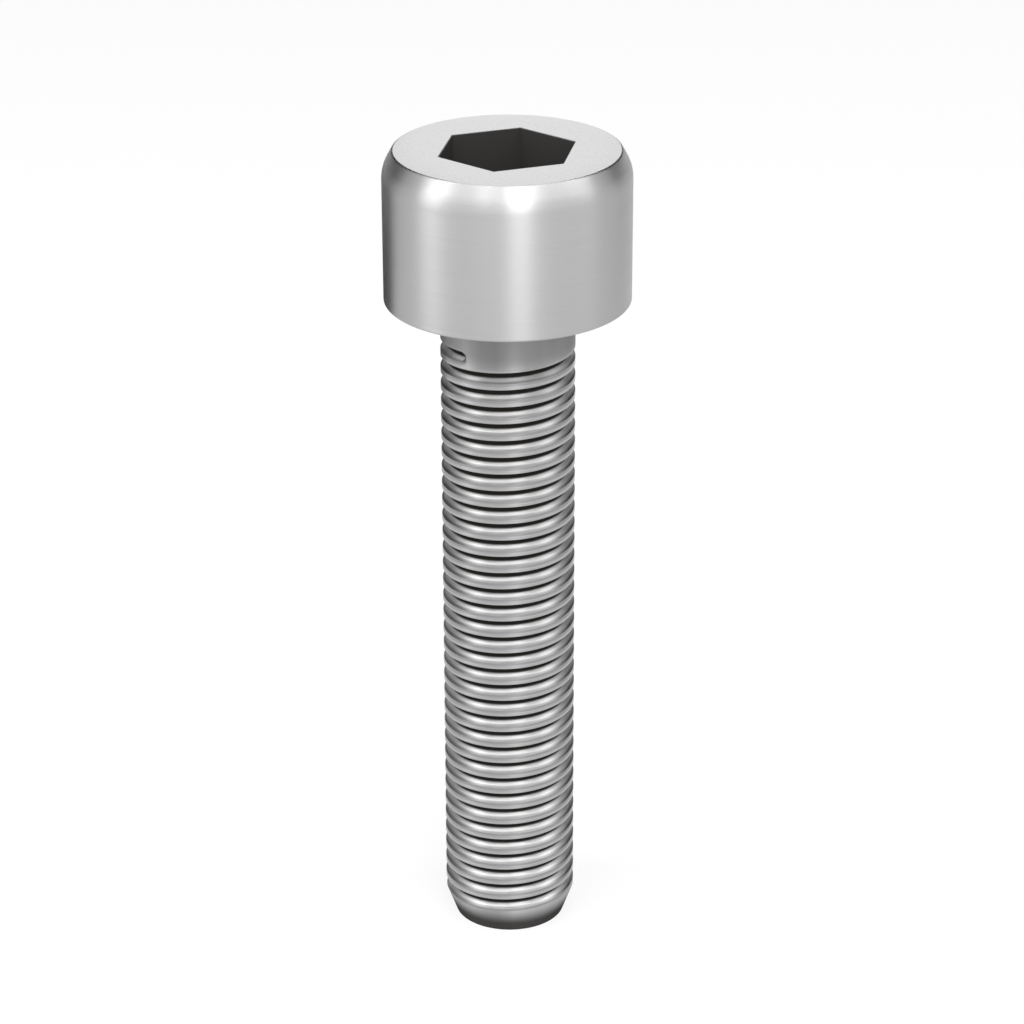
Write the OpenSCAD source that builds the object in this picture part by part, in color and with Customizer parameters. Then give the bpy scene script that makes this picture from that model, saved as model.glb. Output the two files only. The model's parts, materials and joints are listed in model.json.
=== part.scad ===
// Cylinder head bolt: a cylindrical head with a hexagon socket on a fully
// threaded shank. One turned piece, standing on the end of its point.
// The origin is on the axis, in the bearing face under the head.
// The thread is one helical groove, cut into the cylinder of its crests.

/* [Shank] */
// Outside diameter of the thread, over its crests
thread_d = 7.94; // [6:0.01:10]
// Length under the head, from the bearing face to the end of the point
shank_l = 40.6; // [20:0.1:80]
// Diameter of the flat end of the point
point_d = 6.7; // [4.5:0.05:7.4]
// Length of the cone that leads from the thread to the end
point_l = 1.7; // [0.5:0.1:4]

/* [Thread] */
// Distance from one turn to the next, 24 turns to the inch
thread_pitch = 1.058; // [0.95:0.001:1.2]
// Width of the flat crest between two turns of the groove
crest_w = 0.37; // [0.25:0.01:0.5]
// Width of the flat at the bottom of the groove
root_w = 0.16; // [0.08:0.01:0.25]
// Depth below the head at which the groove starts
thread_start = 2.54; // [1.5:0.01:6]
// Angle about the axis at which the groove starts, from +X
start_turn = 229.3; // [0:0.1:359]
// Height above the end of the point at which the groove has run out
thread_end = 1.5; // [1:0.1:5]
// Turns over which the groove runs out
run_out = 0.35; // [0.1:0.05:1]

/* [Head] */
// Diameter of the head
head_d = 14.5; // [13:0.1:20]
// Height of the head
head_h = 9.1; // [7.5:0.1:14]
// Width of the bevel around the top, measured across the head
bevel_w = 0.6; // [0.1:0.05:1]
// Height of the bevel around the top
bevel_h = 1.1; // [0.2:0.05:2]

/* [Socket] */
// Width of the hexagon socket across its flats
socket_af = 7.2; // [5:0.05:8.5]
// Depth of the socket down its flats
socket_depth = 4.6; // [4.2:0.1:5.2]
// Full angle of the drill point at the bottom of the socket
drill_angle = 120; // [110:1:140]
// Angle of one socket corner about the axis, from +X
socket_turn = 19.6; // [0:0.1:60]

/* [Hidden] */
$fn = 96;
bolt_colour = [0.74, 0.74, 0.75];
socket_corner_r = socket_af / 2 / cos(30);
drill_point_h = socket_af / 2 / tan(drill_angle / 2);
// How far a cut runs past the face that it opens
cut_margin = 0.5;
// The groove's two sides stand at 60 degrees to each other
groove_angle = 60;
groove_depth = (thread_pitch - crest_w - root_w) / 2 / tan(groove_angle / 2);
// How far the groove's cutter reaches past the crests, so that its chords clear them
crest_margin = 0.06;
steps_per_turn = 24;
thread_turns = (shank_l - thread_end - thread_start) / thread_pitch;
groove_steps = ceil(thread_turns * steps_per_turn);
// The cutter keeps this share of its depth at its last step
least_cut = 0.02;

// Half of the outline, turned about the axis: point, shank, head and bevel.
module turned_body() {
    rotate_extrude()
        polygon([
            [0, -shank_l],
            [point_d / 2, -shank_l],
            [thread_d / 2, -shank_l + point_l],
            [thread_d / 2, 0],
            [head_d / 2, 0],
            [head_d / 2, head_h - bevel_h],
            [head_d / 2 - bevel_w, head_h],
            [0, head_h]
        ]);
}

// The hexagon and, below it, the drill's cone, which touches the six flats.
module key_socket() {
    translate([0, 0, head_h - socket_depth]) {
        rotate([0, 0, socket_turn])
            cylinder(h = socket_depth + cut_margin, r = socket_corner_r, $fn = 6);
        translate([0, 0, -drill_point_h])
            cylinder(h = drill_point_h, d1 = 0, d2 = socket_af);
    }
}

// Share of its full depth that the groove has, so many turns after its start.
function cut_share(turns) = max(least_cut, min(1, (thread_turns - turns) / run_out));

// The cutter's section there: outer edge and root above, root and outer edge below.
function groove_section(turns) =
    let (
        angle = start_turn - 360 * turns,
        middle = -thread_start - thread_pitch * turns,
        root_r = thread_d / 2 - groove_depth * cut_share(turns),
        outer_r = thread_d / 2 + crest_margin,
        outer_half = root_w / 2 + (outer_r - root_r) * tan(groove_angle / 2)
    )
    [
        for (corner = [[outer_r, outer_half], [root_r, root_w / 2], [root_r, -root_w / 2], [outer_r, -outer_half]])
            [corner[0] * cos(angle), corner[0] * sin(angle), middle + corner[1]]
    ];

// The cutter, swept down a right-hand helix with four points at each step.
module thread_groove() {
    points = [
        for (step = [0 : groove_steps])
            for (point = groove_section(thread_turns * step / groove_steps))
                point
    ];
    sides = [
        for (step = [0 : groove_steps - 1])
            for (corner = [0 : 3])
                let (here = 4 * step + corner, beside = 4 * step + (corner + 1) % 4)
                    for (half = [[here, beside + 4, beside], [here, here + 4, beside + 4]])
                        half
    ];
    last = 4 * groove_steps;
    polyhedron(points, concat([[0, 1, 2, 3]], sides, [[last + 3, last + 2, last + 1, last]]));
}

module bolt() {
    color(bolt_colour)
        difference() {
            turned_body();
            key_socket();
            thread_groove();
        }
}

bolt();
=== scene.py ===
import json
import math

import bmesh
import bpy
from mathutils import Matrix, Vector


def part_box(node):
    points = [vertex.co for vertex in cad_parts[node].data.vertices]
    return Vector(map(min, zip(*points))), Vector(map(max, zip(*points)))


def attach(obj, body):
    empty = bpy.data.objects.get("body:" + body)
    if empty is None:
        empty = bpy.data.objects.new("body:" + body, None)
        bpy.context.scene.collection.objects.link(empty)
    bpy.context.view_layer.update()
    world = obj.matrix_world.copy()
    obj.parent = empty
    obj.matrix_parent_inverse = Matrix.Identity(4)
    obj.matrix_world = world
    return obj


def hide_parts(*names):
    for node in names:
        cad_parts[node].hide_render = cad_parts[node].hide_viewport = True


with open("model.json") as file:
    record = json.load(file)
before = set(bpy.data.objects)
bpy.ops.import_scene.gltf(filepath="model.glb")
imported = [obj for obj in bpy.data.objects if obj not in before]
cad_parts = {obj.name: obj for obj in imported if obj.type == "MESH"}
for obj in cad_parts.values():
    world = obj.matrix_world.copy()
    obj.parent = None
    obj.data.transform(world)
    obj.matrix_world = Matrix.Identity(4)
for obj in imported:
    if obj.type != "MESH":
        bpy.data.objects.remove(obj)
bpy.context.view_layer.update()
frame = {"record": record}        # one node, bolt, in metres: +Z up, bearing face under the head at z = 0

mm = 0.001
columns = 120            # points around the axis, a multiple of 6 so that the socket's corners fall on them

mounts = {mount["name"]: mount for mount in frame["record"]["mounts"]}
threadSize = mounts["thread"]["dims"]
headSize = mounts["head_side"]["dims"]
lowCorner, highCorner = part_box("bolt")

headSettings = {
    "radius": headSize["r_mm"] * mm,
    "top": highCorner[2],
    "bevelFoot": headSize["length_mm"] * mm,     # height where the side ends and the bevel starts
    "bevelWidth": 0.6 * mm,
    "flatInner": 4.9 * mm,                       # a ring on the flat top, between the socket and the bevel
    "topRound": 0.16 * mm,                       # rounds that tumbling leaves on the turned edges
    "bevelRound": 2.2 * mm,
    "footRound": 0.16 * mm,
    "neckFillet": 0.2 * mm,
    "roundSteps": 6,
}

socketSettings = {
    "acrossFlats": 7.2 * mm,
    "depth": 4.6 * mm,
    "drillAngle": 120,
    "turn": 19.6,                                # degrees from +X to one corner
    "mouthBreak": 0.05 * mm,
    "innerShare": 0.02,                          # radii of the drill's two rings, as shares of acrossFlats
    "floorShare": 0.498,
    "paintedShade": 0.94,                                # painted shade over the socket, nearly full, for its dark interior
}

threadSettings = {
    "radius": threadSize["r_mm"] * mm,
    "pitch": 1.058 * mm,                         # 24 turns to the inch
    "rootShare": 0.13,                           # radius of the root, as a share of the pitch
    "crestShare": 0.35,                          # flat of the crest, as a share of the pitch
    "phases": (0, 0.05, 0.09, 0.1126, 0.14, 0.3, 0.325, 0.345),      # half a groove, in pitches
    # cover of the near-black painted shade at some of these phases, from the middle of the groove down its
    # lower flank
    "paintedShadeBelow": {0: 1.0, 0.05: 1.0, 0.09: 0.95, 0.1126: 0.65, 0.14: 0.18},
    "paintedShadeAbove": 0.31,                           # the upper flank is all painted shade, up to this phase
    "startDepth": 2.54 * mm,                     # depth of the groove's blunt start below the head
    "startAngle": 229.3,                         # degrees from +X to that start
    "startLength": 0.012,                        # turns in which the groove reaches its full depth
    "endDepth": 39.1 * mm,
    "endLength": 0.35,                           # turns in which it fades out on the cone
    "spareAbove": 5,                             # turns made past the top and the bottom, pressed flat there
    "spareBelow": 4,
    "neckEnd": -1.2 * mm,
    "coneStart": -threadSize["length_mm"] * mm,
    "coneEnd": 0.12 * mm,                        # height over the tip where the cone gives way to the edge
    "endRadius": 3.35 * mm,
    "endRound": 0.072 * mm,
    "tip": lowCorner[2],
}
crestCrossing = 0.5      # the crest's middle, where one groove's middle is 0 and the next one's is 1

weldSettings = {
    "distance": 0.0005 * mm,
    "sharpAngle": 32,                            # degrees; a sharper edge than this isn't shaded round
}


def columnAngle(column):
    return math.radians(socketSettings["turn"]) + 2 * math.pi * column / columns


def pointAt(angle, r, z):
    return (r * math.cos(angle), r * math.sin(angle), z)


def roundRing(r, z):
    return [pointAt(columnAngle(column), r, z) for column in range(columns)]


def hexRing(acrossFlats, z):
    ring = []
    for column in range(columns):
        fromCorner = 2 * math.pi * column / columns % (math.pi / 3)
        ring.append(pointAt(columnAngle(column), acrossFlats / 2 / math.cos(fromCorner - math.pi / 6), z))
    return ring


# the faces between rings that follow each other, from the point at base on
def ringFaces(base, ringCount):
    faces = []
    for row in range(ringCount - 1):
        upper = base + row * columns
        lower = upper + columns
        for column in range(columns):
            following = (column + 1) % columns
            faces.append((upper + column, lower + column, lower + following, upper + following))
    return faces


# each corner is a radius, a height and the round that it gets
def filletedOutline(corners, steps):
    points = []
    for index, (r, z, rounding) in enumerate(corners):
        if rounding == 0:
            points.append((r, z))
            continue
        corner = Vector((r, z))
        before = (Vector(corners[index - 1][:2]) - corner).normalized()
        after = (Vector(corners[index + 1][:2]) - corner).normalized()
        halfAngle = before.angle(after) / 2
        centre = corner + (before + after).normalized() * rounding / math.sin(halfAngle)
        first = corner + before * rounding / math.tan(halfAngle) - centre
        last = corner + after * rounding / math.tan(halfAngle) - centre
        sweep = first.angle_signed(last)
        for step in range(steps + 1):
            points.append(tuple(centre + Matrix.Rotation(-sweep * step / steps, 2) @ first))
    return points


def smooth(share):
    share = min(1, max(0, share))
    return share * share * (3 - 2 * share)


# depth of the groove, in pitches, at a phase counted in pitches from its middle
def grooveDepth(phase):
    away = abs(phase)
    slope = math.sqrt(3)                         # of flanks that stand at 60 degrees to each other
    root = threadSettings["rootShare"]
    apex = (0.5 - threadSettings["crestShare"] / 2) * slope
    if away < root * math.cos(math.pi / 6):
        return apex - 2 * root + math.sqrt(root * root - away * away)
    return max(0, apex - away * slope)


def shankRadius(z):
    t = threadSettings
    if z > t["coneStart"]:
        return t["radius"]
    share = (t["coneStart"] - z) / (t["coneStart"] - t["tip"])
    return t["radius"] + (t["endRadius"] - t["radius"]) * share


# level counts pitches down the helix; whole numbers are the middles of the groove
def threadPoint(angle, level, low, high):
    t = threadSettings
    turnsToStart = t["startDepth"] / t["pitch"] + math.radians(t["startAngle"]) / (2 * math.pi)
    z = -t["pitch"] * (level + turnsToStart - angle / (2 * math.pi))
    phase = level - round(level)
    middleDepth = -z - phase * t["pitch"]
    fadeIn = smooth((middleDepth - t["startDepth"]) / (t["pitch"] * t["startLength"]) + 0.5)
    fadeOut = smooth((t["endDepth"] - middleDepth) / (t["pitch"] * t["endLength"]))
    z = min(high, max(low, z))
    cut = grooveDepth(phase) * fadeIn * fadeOut
    r = min(shankRadius(z), t["radius"] - cut * t["pitch"])
    # painted shade in the groove: full over the root and the upper flank, fading out down the lower flank
    if phase >= 0:
        crossing = phase
        paintedShade = t["paintedShadeBelow"].get(round(phase, 4), 0.0)
    else:
        crossing = phase + 1
        paintedShade = float(phase > -t["paintedShadeAbove"])
    crossing = crestCrossing + (crossing - crestCrossing) * fadeIn * fadeOut
    return pointAt(angle, r, z), crossing, paintedShade * fadeIn * fadeOut


# all the levels whose helix crosses the stretch from high down to low, and how many of them make a turn
def helixLevels(low, high):
    t = threadSettings
    halves = list(t["phases"])
    phases = sorted([-phase for phase in halves if phase > 0] + halves + [0.5])
    last = math.ceil((high - low) / t["pitch"]) + t["spareBelow"]
    return [turn + phase for turn in range(-t["spareAbove"], last) for phase in phases], len(phases)


# the faces of the thread, one strip down the helix, whose edges meet after each turn
def helixFaces(base, levelCount, turnRows):
    faces = []
    for row in range(levelCount - 1):
        upper = base + row * columns
        lower = upper + columns
        for column in range(columns - 1):
            faces.append((upper + column, lower + column, lower + column + 1, upper + column + 1))
        seamRow = max(0, row - turnRows)         # one turn on, the helix has come down one pitch
        seamNext = max(0, row + 1 - turnRows)
        faces.append((upper + columns - 1, lower + columns - 1,
                      base + seamNext * columns, base + seamRow * columns))
    return faces


def socketRings():
    s = socketSettings
    top = headSettings["top"]
    socketFloor = top - s["depth"]
    drillSlope = math.tan(math.radians(s["drillAngle"] / 2))
    drillPoint = socketFloor - s["acrossFlats"] / 2 / drillSlope
    innerRadius = s["acrossFlats"] * s["innerShare"]
    rings = [
        roundRing(innerRadius, drillPoint + innerRadius / drillSlope),
        roundRing(s["acrossFlats"] * s["floorShare"], socketFloor),
        hexRing(s["acrossFlats"], socketFloor),
        hexRing(s["acrossFlats"], top - s["mouthBreak"]),
        hexRing(s["acrossFlats"] + 2 * s["mouthBreak"], top),
    ]
    return rings, drillPoint


# one closed skin: up the socket, down the head's outline, down the thread and over the end
def makeBoltMesh():
    h = headSettings
    t = threadSettings
    rings, drillPoint = socketRings()
    belowMouth = (len(rings) - 1) * columns
    outline = filletedOutline([
        (h["flatInner"], h["top"], 0),
        (h["radius"] - h["bevelWidth"], h["top"], h["topRound"]),
        (h["radius"], h["bevelFoot"], h["bevelRound"]),
        (h["radius"], 0, h["footRound"]),
        (t["radius"], 0, h["neckFillet"]),
        (t["radius"], t["neckEnd"], 0),
    ], h["roundSteps"])
    rings += [roundRing(r, z) for r, z in outline]
    vertices = [point for ring in rings for point in ring]
    faces = ringFaces(0, len(rings))
    apex = len(vertices)
    vertices.append((0, 0, drillPoint))
    faces += [(apex, column, (column + 1) % columns) for column in range(columns)]
    crossings = {}
    # painted shade over the socket, from just below its mouth down to the drill point
    paintedShades = {index: socketSettings["paintedShade"] for index in [apex, *range(belowMouth)]}

    base = len(vertices)
    coneEnd = t["tip"] + t["coneEnd"]
    levels, turnRows = helixLevels(coneEnd, t["neckEnd"])
    for level in levels:
        for column in range(columns):
            point, crossing, paintedShade = threadPoint(columnAngle(column), level, coneEnd, t["neckEnd"])
            crossings[len(vertices)] = crossing
            paintedShades[len(vertices)] = paintedShade
            vertices.append(point)
    faces += helixFaces(base, len(levels), turnRows)

    endOutline = filletedOutline([
        (shankRadius(coneEnd), coneEnd, 0),
        (t["endRadius"], t["tip"], t["endRound"]),
        (t["endRadius"] / 2, t["tip"], 0),
    ], h["roundSteps"])
    base = len(vertices)
    for r, z in endOutline:
        vertices += roundRing(r, z)
    faces += ringFaces(base, len(endOutline))
    lastRing = len(vertices) - columns
    middle = len(vertices)
    vertices.append((0, 0, t["tip"]))
    faces += [(lastRing + column, middle, lastRing + (column + 1) % columns) for column in range(columns)]

    mesh = bpy.data.meshes.new("threaded_bolt")
    mesh.from_pydata(vertices, [], faces)
    for name, values, unset in (("crossing", crossings, crestCrossing), ("paintedShade", paintedShades, 0.0)):
        attribute = mesh.attributes.new(name, "FLOAT", "POINT")
        attribute.data.foreach_set("value", [values.get(index, unset) for index in range(len(vertices))])
    return mesh


def weld(mesh):
    work = bmesh.new()
    work.from_mesh(mesh)
    bmesh.ops.remove_doubles(work, verts=work.verts, dist=weldSettings["distance"])
    bmesh.ops.recalc_face_normals(work, faces=work.faces)
    openEdges = sum(1 for edge in work.edges if len(edge.link_faces) != 2)
    for face in work.faces:
        face.smooth = True
    sharpAngle = math.radians(weldSettings["sharpAngle"])
    for edge in work.edges:
        if len(edge.link_faces) == 2:
            edge.smooth = edge.calc_face_angle(0) < sharpAngle
    work.to_mesh(mesh)
    triangles = sum(len(face.verts) - 2 for face in work.faces)
    work.free()
    print("bolt mesh:", len(mesh.vertices), "points,", triangles, "triangles,", openEdges, "open edges")


print("bolt sizes read from the frame")
boltMesh = makeBoltMesh()
weld(boltMesh)
bolt = bpy.data.objects.new("threaded_bolt", boltMesh)
bpy.context.scene.collection.objects.link(bolt)
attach(bolt, "root")
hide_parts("bolt")


def linearColour(hexCode):
    channels = [int(hexCode[i:i + 2], 16) / 255 for i in (1, 3, 5)]
    return tuple(c / 12.92 if c <= 0.04045 else ((c + 0.055) / 1.055) ** 2.4 for c in channels) + (1,)


def addNode(tree, nodeType, inputs=None, **settings):
    node = tree.nodes.new(nodeType)
    for name, value in settings.items():
        setattr(node, name, value)
    for socket, value in (inputs or {}).items():
        if isinstance(value, bpy.types.NodeSocket):
            tree.links.new(value, node.inputs[socket])
        else:
            node.inputs[socket].default_value = value
    return node


def newTree(owner):
    owner.use_nodes = True
    owner.node_tree.nodes.clear()
    return owner.node_tree


steelFinish = {
    "headRoughness": 0.42,
    "roughnessSpread": 0.04,                     # how far a turning mark takes the roughness up or down
    "anisotropy": 0.88,
    "anisotropyTurn": 0.25,                      # a quarter turn, so that the streaks run along the axis
    "headColour": "#B1B1B2",
    # the thread's colours down one turn, from the middle of one groove (0) to the middle of the next (1);
    # the near-white stretch from 0 to 0.21 is a painted highlight
    "turnColoursWithHighlight": ((0.0, "#FCFCFC"), (0.21, "#FCFCFC"), (0.27, "#BEBEBE"), (0.35, "#909091"),
                    (0.47, "#9A9A9B"), (0.5, "#AAAAAB"), (0.53, "#A4A4A5"), (0.62, "#ABABAC"),
                    (0.7, "#A0A0A0")),
    "turnRoughness": ((0.0, 0.36), (0.31, 0.36), (0.35, 0.3), (0.47, 0.3), (0.5, 0.44), (0.53, 0.3)),
    "paintedShadeColour": "#242220",                     # near black: the painted shade in the grooves, the socket, under the head and on the point
    "paintedShadeRoughness": 0.8,
    "neckPaintedShade": 0.34,                            # how much painted shade there is on the neck, close under the head, where the head shades it
    "neckPaintedShadeStart": -2.2 * mm,
    "neckPaintedShadeEnd": -3.6 * mm,
    "pointPaintedShade": 0.93,                           # and painted shade on the end of the point
    "pointPaintedShadeStart": 2.0 * mm,
    "pointPaintedShadeEnd": 0.5 * mm,
    "lineWidth": 0.06 * mm,                      # of a turning mark, coarser than real so that it shows
    "lineDepth": 0.003 * mm,
    "threadStretch": 1.1,                        # how much longer the thread's skin is than its pitch
    "threadContrast": 0.2,
    "headContrast": 0.03,
}
facedFinish = {
    # paler than the turned steel: the smooth faced finish is real, but its extra brightness is painted light
    "colour": "#DFDFE0",
    "colourSpread": 0.015,
    "roughness": 0.27,
    "roughnessSpread": 0.05,
    "grain": 0.5 * mm,                           # size of the faint mottling
    "topNormal": 0.9,                            # least upward part of a normal on the faced top
    "footNormal": 0.97,                          # least downward part of a normal under the head
    "footHeight": 0.05 * mm,                     # how far from the bearing face that may be
}
noiseRange = {"From Min": 0.3, "From Max": 0.7}  # nearly all values of a noise texture


# fine rings around the axis, which follow the groove in the thread, and how strongly they show
def turningMarks(tree, crossing, place, onShank):
    f = steelFinish
    flat = addNode(tree, "ShaderNodeCombineXYZ", {"X": place.outputs["X"], "Y": place.outputs["Y"]})
    radius = addNode(tree, "ShaderNodeVectorMath", {0: flat.outputs[0]}, operation="LENGTH")
    around = addNode(tree, "ShaderNodeVectorMath", {0: flat.outputs[0]}, operation="NORMALIZE")
    alongHead = addNode(tree, "ShaderNodeMath", {
        0: place.outputs["Z"], 1: radius.outputs["Value"]}, operation="ADD")
    alongThread = addNode(tree, "ShaderNodeMath", {
        0: crossing, 1: threadSettings["pitch"] * f["threadStretch"]}, operation="MULTIPLY")
    along = addNode(tree, "ShaderNodeMix", {
        0: onShank, 2: alongHead.outputs[0], 3: alongThread.outputs[0]}, data_type="FLOAT")
    scaled = addNode(tree, "ShaderNodeMath", {
        0: along.outputs[0], 1: 1 / (f["lineWidth"] * 2)}, operation="MULTIPLY")
    ring = addNode(tree, "ShaderNodeCombineXYZ", {"Z": scaled.outputs[0]})
    turned = addNode(tree, "ShaderNodeVectorMath", {
        0: around.outputs[0], 1: ring.outputs[0]}, operation="ADD")
    marks = addNode(tree, "ShaderNodeTexNoise", {
        "Vector": turned.outputs[0], "Scale": 1.0, "Detail": 3.0, "Roughness": 0.6})
    contrast = addNode(tree, "ShaderNodeMapRange", {
        "Value": onShank, "To Min": f["headContrast"], "To Max": f["threadContrast"]})
    return marks.outputs["Fac"], contrast.outputs[0]


def rampNode(tree, value, steps):
    ramp = addNode(tree, "ShaderNodeValToRGB", {"Fac": value})
    stops = ramp.color_ramp.elements
    while len(stops) > 1:
        stops.remove(stops[-1])
    for index, (place, level) in enumerate(steps):
        stop = stops[0] if index == 0 else stops.new(place)
        stop.position = place
        stop.color = linearColour(level) if isinstance(level, str) else (level, level, level, 1)
    return ramp.outputs["Color"]


# bright rolled and turned steel: a pale grey metal that smears each light into an upright streak, with
# painted shade in the grooves, socket, neck and point, and a painted highlight below each groove
def turnedSteel():
    f = steelFinish
    tip = threadSettings["tip"]
    material = bpy.data.materials.new("turned_steel")
    tree = newTree(material)
    crossing = addNode(tree, "ShaderNodeAttribute", attribute_name="crossing").outputs["Fac"]
    inGroove = addNode(tree, "ShaderNodeAttribute", attribute_name="paintedShade").outputs["Fac"]
    coordinates = addNode(tree, "ShaderNodeTexCoord")
    place = addNode(tree, "ShaderNodeSeparateXYZ", {0: coordinates.outputs["Object"]})
    height = place.outputs["Z"]
    onShank = addNode(tree, "ShaderNodeMath", {0: height, 1: 0.0}, operation="LESS_THAN").outputs[0]
    # painted shade on the neck, under the head
    underHead = addNode(tree, "ShaderNodeMapRange", {
        "Value": height, "From Min": f["neckPaintedShadeEnd"], "From Max": f["neckPaintedShadeStart"],
        "To Max": f["neckPaintedShade"]}, interpolation_type="SMOOTHSTEP")
    neck = addNode(tree, "ShaderNodeMath", {0: underHead.outputs[0], 1: onShank}, operation="MULTIPLY")
    # painted shade on the end of the point, standing in for the dark contact shadow that the cone mirrors
    point = addNode(tree, "ShaderNodeMapRange", {
        "Value": height, "From Min": tip + f["pointPaintedShadeStart"], "From Max": tip + f["pointPaintedShadeEnd"],
        "To Max": f["pointPaintedShade"]}, interpolation_type="SMOOTHSTEP")
    onThread = addNode(tree, "ShaderNodeMath", {0: inGroove, 1: neck.outputs[0]}, operation="MAXIMUM")
    paintedShade = addNode(tree, "ShaderNodeMath", {
        0: onThread.outputs[0], 1: point.outputs[0]}, operation="MAXIMUM").outputs[0]

    marks, contrast = turningMarks(tree, crossing, place, onShank)
    centred = addNode(tree, "ShaderNodeMapRange", {
        "Value": marks, **noiseRange, "To Min": -1.0, "To Max": 1.0}, clamp=False).outputs[0]
    shade = addNode(tree, "ShaderNodeMath", {0: centred, 1: contrast, 2: 1.0}, operation="MULTIPLY_ADD")
    plain = addNode(tree, "ShaderNodeMix", {
        0: onShank, 6: linearColour(f["headColour"]), 7: rampNode(tree, crossing, f["turnColoursWithHighlight"])},
        data_type="RGBA")
    metal = addNode(tree, "ShaderNodeVectorMath", {
        0: plain.outputs[2], 1: shade.outputs[0]}, operation="MULTIPLY")
    # where the painted shade lies, its near-black colour covers the steel
    colour = addNode(tree, "ShaderNodeMix", {
        0: paintedShade, 6: metal.outputs[0], 7: linearColour(f["paintedShadeColour"])}, data_type="RGBA")

    depth = addNode(tree, "ShaderNodeMath", {
        0: contrast, 1: f["lineDepth"] / f["threadContrast"]}, operation="MULTIPLY")
    rise = addNode(tree, "ShaderNodeMath", {0: marks, 1: depth.outputs[0]}, operation="MULTIPLY")
    relief = addNode(tree, "ShaderNodeBump", {"Height": rise.outputs[0], "Strength": 1.0, "Distance": 1.0})
    plainRoughness = addNode(tree, "ShaderNodeMix", {
        0: onShank, 2: f["headRoughness"], 3: rampNode(tree, crossing, f["turnRoughness"])},
        data_type="FLOAT")
    metalRoughness = addNode(tree, "ShaderNodeMath", {
        0: centred, 1: f["roughnessSpread"], 2: plainRoughness.outputs[0]}, operation="MULTIPLY_ADD")
    roughness = addNode(tree, "ShaderNodeMix", {
        0: paintedShade, 2: metalRoughness.outputs[0], 3: f["paintedShadeRoughness"]}, data_type="FLOAT")
    bare = addNode(tree, "ShaderNodeMath", {0: 1.0, 1: paintedShade}, operation="SUBTRACT")
    shader = addNode(tree, "ShaderNodeBsdfPrincipled", {
        "Base Color": colour.outputs[2],
        "Metallic": bare.outputs[0],
        "Roughness": roughness.outputs[0],
        "Specular IOR Level": 0.0,               # the painted shade is matt; this leaves the bare metal as it is
        "Anisotropic": f["anisotropy"],
        "Anisotropic Rotation": f["anisotropyTurn"],
        "Normal": relief.outputs[0],
    })
    tangent = addNode(tree, "ShaderNodeTangent", direction_type="RADIAL", axis="Z")
    tree.links.new(tangent.outputs["Tangent"], shader.inputs["Tangent"])
    addNode(tree, "ShaderNodeOutputMaterial", {"Surface": shader.outputs["BSDF"]})
    return material


# steel faced flat and tumbled: even, with no streaks, and faintly mottled; its pale colour is partly painted
# light, making the top brighter than the sides and brightening the underside that the thread mirrors
def facedSteel():
    f = facedFinish
    material = bpy.data.materials.new("faced_steel")
    tree = newTree(material)
    place = addNode(tree, "ShaderNodeTexCoord")
    mottle = addNode(tree, "ShaderNodeTexNoise", {
        "Vector": place.outputs["Object"], "Scale": 1 / (f["grain"] * 2), "Detail": 4.0})
    shade = addNode(tree, "ShaderNodeMapRange", {
        "Value": mottle.outputs["Fac"], **noiseRange,
        "To Min": 1 - f["colourSpread"], "To Max": 1 + f["colourSpread"]})
    colour = addNode(tree, "ShaderNodeVectorMath", {
        0: linearColour(f["colour"])[:3], 1: shade.outputs[0]}, operation="MULTIPLY")
    roughness = addNode(tree, "ShaderNodeMapRange", {
        "Value": mottle.outputs["Fac"],
        "To Min": f["roughness"] - f["roughnessSpread"], "To Max": f["roughness"] + f["roughnessSpread"]})
    shader = addNode(tree, "ShaderNodeBsdfPrincipled", {
        "Base Color": colour.outputs[0],
        "Metallic": 1.0,
        "Roughness": roughness.outputs[0],
    })
    addNode(tree, "ShaderNodeOutputMaterial", {"Surface": shader.outputs["BSDF"]})
    return material


boltMesh.materials.append(turnedSteel())
boltMesh.materials.append(facedSteel())
for face in boltMesh.polygons:
    up = face.normal.z
    height = face.center.z
    onTop = up > facedFinish["topNormal"] and height > headSettings["bevelFoot"]
    underHead = up < -facedFinish["footNormal"] and abs(height) < facedFinish["footHeight"]
    if onTop or underHead:
        face.material_index = 1
print("steel laid on")

studio = {
    "floorColour": "#FCFCFC",
    "floorRoughness": 0.9,
    "floorSpecular": 0.1,
    "floorSize": 4.0,                            # metres
    "floorLift": 0.78,                           # how far the camera sees the floor as plain white paper
    "worldLevel": 0.4,
    "backgroundLevel": 1.0,
}


# 1 for what the camera, a reflection or a refraction sees, 0 for what only lights the scene
def seenShare(tree):
    path = addNode(tree, "ShaderNodeLightPath")
    seen = addNode(tree, "ShaderNodeMath", {
        0: path.outputs["Is Camera Ray"], 1: path.outputs["Is Glossy Ray"]}, operation="ADD")
    share = addNode(tree, "ShaderNodeMath", {
        0: seen.outputs[0], 1: path.outputs["Is Transmission Ray"]}, operation="ADD", use_clamp=True)
    return share.outputs[0]


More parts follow.
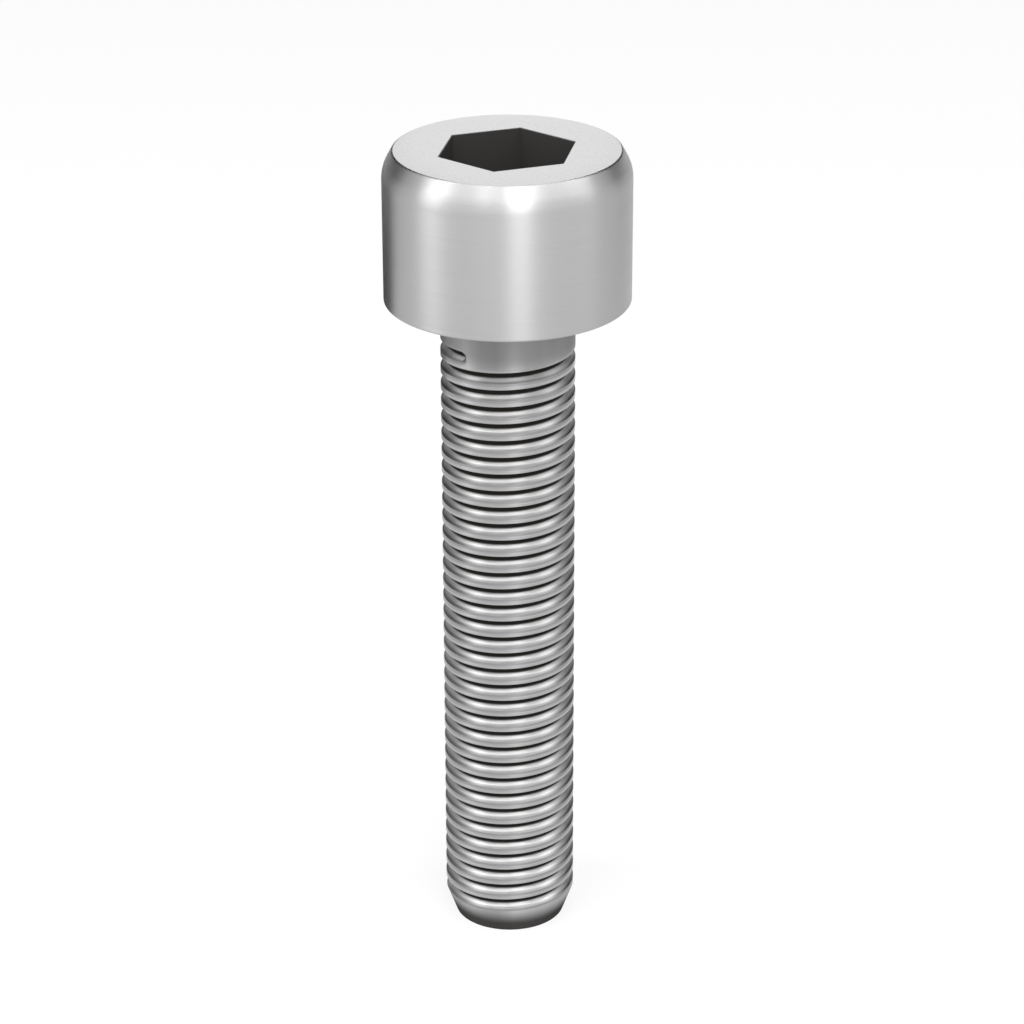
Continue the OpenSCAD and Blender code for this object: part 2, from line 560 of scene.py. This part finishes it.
# white paper: matt, so that it takes the bolt's soft shadow and otherwise fades into the background
def makeFloor():
    half = studio["floorSize"] / 2
    level = lowCorner[2]
    corners = [(-half, -half, level), (half, -half, level), (half, half, level), (-half, half, level)]
    mesh = bpy.data.meshes.new("floor")
    mesh.from_pydata(corners, [], [(0, 1, 2, 3)])
    floor = bpy.data.objects.new("floor", mesh)
    bpy.context.scene.collection.objects.link(floor)
    material = bpy.data.materials.new("white_paper")
    tree = newTree(material)
    paper = addNode(tree, "ShaderNodeBsdfPrincipled", {
        "Base Color": linearColour(studio["floorColour"]),
        "Roughness": studio["floorRoughness"],
        "Specular IOR Level": studio["floorSpecular"],
    })
    white = addNode(tree, "ShaderNodeEmission", {"Strength": studio["backgroundLevel"]})
    lift = addNode(tree, "ShaderNodeMath", {
        0: seenShare(tree), 1: studio["floorLift"]}, operation="MULTIPLY")
    mixed = addNode(tree, "ShaderNodeMixShader", {
        0: lift.outputs[0], 1: paper.outputs[0], 2: white.outputs[0]})
    addNode(tree, "ShaderNodeOutputMaterial", {"Surface": mixed.outputs[0]})
    mesh.materials.append(material)


def makeWorld():
    world = bpy.data.worlds.new("white_studio")
    bpy.context.scene.world = world
    tree = newTree(world)
    level = addNode(tree, "ShaderNodeMapRange", {
        "Value": seenShare(tree), "To Min": studio["worldLevel"], "To Max": studio["backgroundLevel"]})
    background = addNode(tree, "ShaderNodeBackground", {
        "Color": (1, 1, 1, 1), "Strength": level.outputs[0]})
    addNode(tree, "ShaderNodeOutputWorld", {"Surface": background.outputs[0]})


# angles in degrees, with azimuth 0 on the camera's side and positive to the right; lengths in metres
softboxDistance = 0.5
whitePower = 4           # watts for a square metre of panel that looks as bright as white, which is level 1
softboxes = [
    {"name": "left_softbox", "azimuth": -74, "elevation": 28, "size": (0.18, 0.42), "level": 2.6},
    {"name": "front_softbox", "azimuth": 11, "elevation": 28, "size": (0.16, 0.42), "level": 2.8},
    {"name": "right_softbox", "azimuth": 84, "elevation": 40, "size": (0.12, 0.3), "level": 2.4},
    {"name": "high_left_softbox", "azimuth": -50, "elevation": 52, "size": (0.4, 0.16), "level": 2.7},
    {"name": "high_softbox", "azimuth": 0, "elevation": 52, "size": (0.4, 0.16), "level": 2.7},
    {"name": "high_right_softbox", "azimuth": 50, "elevation": 52, "size": (0.4, 0.16), "level": 2.7},
]
# dark cards, seen only in the steel, give it the dark edges that a white studio takes away
wall = {"distance": 0.6, "width": 0.64, "colour": "#0A0A0A"}
flags = [
    {"name": "left_card", "azimuth": -146, "distance": 0.04, "width": 0.036, "foot": 0.02, "height": 0.022,
     "colour": "#5A5A5A"},
    {"name": "left_wall", "azimuth": -144, "foot": 0.05, "height": 0.75, **wall},
    {"name": "right_wall", "azimuth": 144, "foot": 0.12, "height": 0.68, **wall},
]


def directionTo(azimuth, elevation):
    azimuth = math.radians(azimuth)
    elevation = math.radians(elevation)
    return Vector((math.sin(azimuth) * math.cos(elevation), -math.cos(azimuth) * math.cos(elevation),
                   math.sin(elevation)))


def addSoftbox(settings):
    centre = Vector((0, 0, (lowCorner[2] + highCorner[2]) / 2))
    away = directionTo(settings["azimuth"], settings["elevation"])
    lamp = bpy.data.lights.new(settings["name"], "AREA")
    lamp.shape = "RECTANGLE"
    lamp.size, lamp.size_y = settings["size"]
    lamp.energy = settings["level"] * whitePower * settings["size"][0] * settings["size"][1]
    holder = bpy.data.objects.new(settings["name"], lamp)
    holder.location = centre + away * softboxDistance
    holder.rotation_euler = away.to_track_quat("Z", "Y").to_euler()
    holder.visible_camera = False
    bpy.context.scene.collection.objects.link(holder)


# black card: matt and nearly black, the dark that the edges of the steel reflect
def addFlag(settings):
    away = directionTo(settings["azimuth"], 0)
    across = Vector((-away.y, away.x, 0)) * settings["width"] / 2
    foot = away * settings["distance"] + Vector((0, 0, lowCorner[2] + settings["foot"]))
    rise = Vector((0, 0, settings["height"]))
    corners = [foot - across, foot + across, foot + across + rise, foot - across + rise]
    mesh = bpy.data.meshes.new(settings["name"])
    mesh.from_pydata(corners, [], [(0, 1, 2, 3)])
    material = bpy.data.materials.new("black_card")
    tree = newTree(material)
    card = addNode(tree, "ShaderNodeBsdfDiffuse", {"Color": linearColour(settings["colour"])})
    addNode(tree, "ShaderNodeOutputMaterial", {"Surface": card.outputs[0]})
    mesh.materials.append(material)
    flag = bpy.data.objects.new(settings["name"], mesh)
    flag.visible_camera = False
    flag.visible_diffuse = False
    flag.visible_shadow = False
    bpy.context.scene.collection.objects.link(flag)


cameraSettings = {
    "place": (0.212 * mm, -190.02 * mm, 70.53 * mm),
    "pitch": 23.893,                             # degrees below the horizontal
    "roll": -0.176,
    "focalPixels": 3467,                         # for a picture of pictureWidth pixels
    "pictureWidth": 1024,
    "sensorWidth": 36,                           # mm, as the lens is
    "clipStart": 0.01,                           # metres
    "clipEnd": 10,
}


def makeCamera():
    c = cameraSettings
    data = bpy.data.cameras.new("camera")
    data.sensor_width = c["sensorWidth"]
    data.lens = c["focalPixels"] / c["pictureWidth"] * c["sensorWidth"]
    data.clip_start = c["clipStart"]
    data.clip_end = c["clipEnd"]
    camera = bpy.data.objects.new("camera", data)
    tilt = Matrix.Rotation(math.radians(90 - c["pitch"]), 4, "X")
    roll = Matrix.Rotation(math.radians(c["roll"]), 4, "Z")
    camera.matrix_world = Matrix.Translation(Vector(c["place"])) @ tilt @ roll
    bpy.context.scene.collection.objects.link(camera)
    bpy.context.scene.camera = camera


makeFloor()
makeWorld()
for softbox in softboxes:
    addSoftbox(softbox)
for flag in flags:
    addFlag(flag)
makeCamera()
bpy.context.scene.view_settings.view_transform = "Standard"
print("studio ready")
